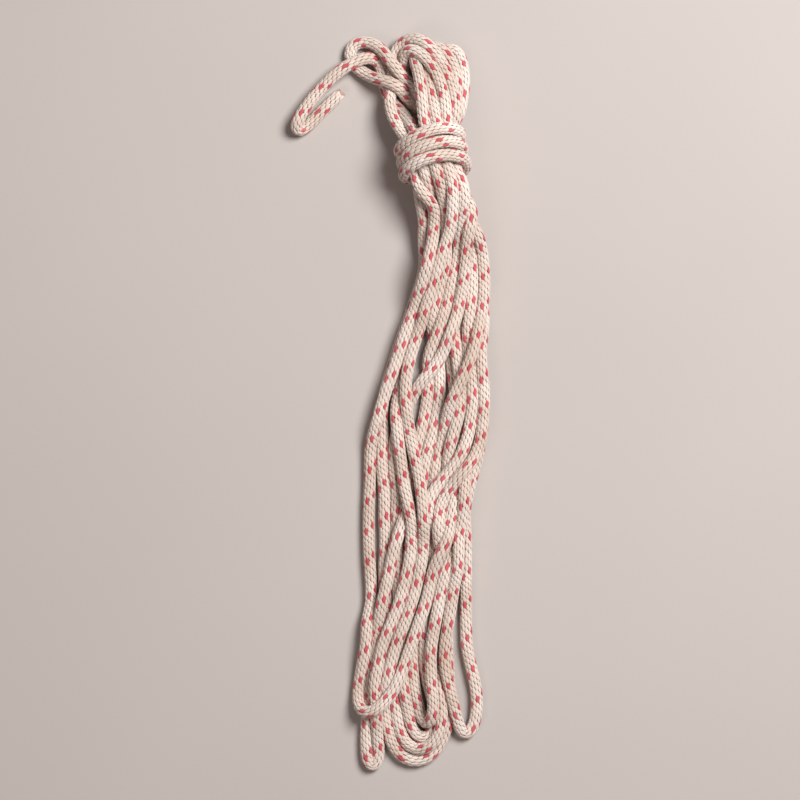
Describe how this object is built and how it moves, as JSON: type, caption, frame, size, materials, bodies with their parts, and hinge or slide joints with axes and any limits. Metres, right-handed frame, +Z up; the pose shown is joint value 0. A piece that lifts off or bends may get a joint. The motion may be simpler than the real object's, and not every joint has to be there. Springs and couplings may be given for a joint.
{
  "type": "braided rope hank",
  "caption": "Soft braided rope folded into a long hank, wrapped round its neck, with loops at both ends and a loose cut end.",
  "frame": {"origin": "on the floor, under the middle of the folded runs", "axes": "+Z up from the floor, +Y along the hank towards its head loops, +X to the right"},
  "size_m": [0.1598, 0.5915, 0.0614],
  "materials": {
    "braid": "matte ecru braid",
    "tracer": "matte coral tracer yarn",
    "core": "matte white twisted yarn",
    "seal": "melted, slightly glossy"
  },
  "bodies": {
    "root": {"upper_runs": "braid", "lower_runs": "braid", "throat_runs": "braid", "neck_runs": "braid", "neck_wraps": "braid", "head_loops": "braid", "foot_bight_left": "braid", "foot_bights_middle": "braid", "foot_bight_right": "braid", "side_loop": "braid", "tail": "braid", "end_sheath": "braid", "core_strands": "core", "end_seal": "seal"}
  },
  "joints": []
}
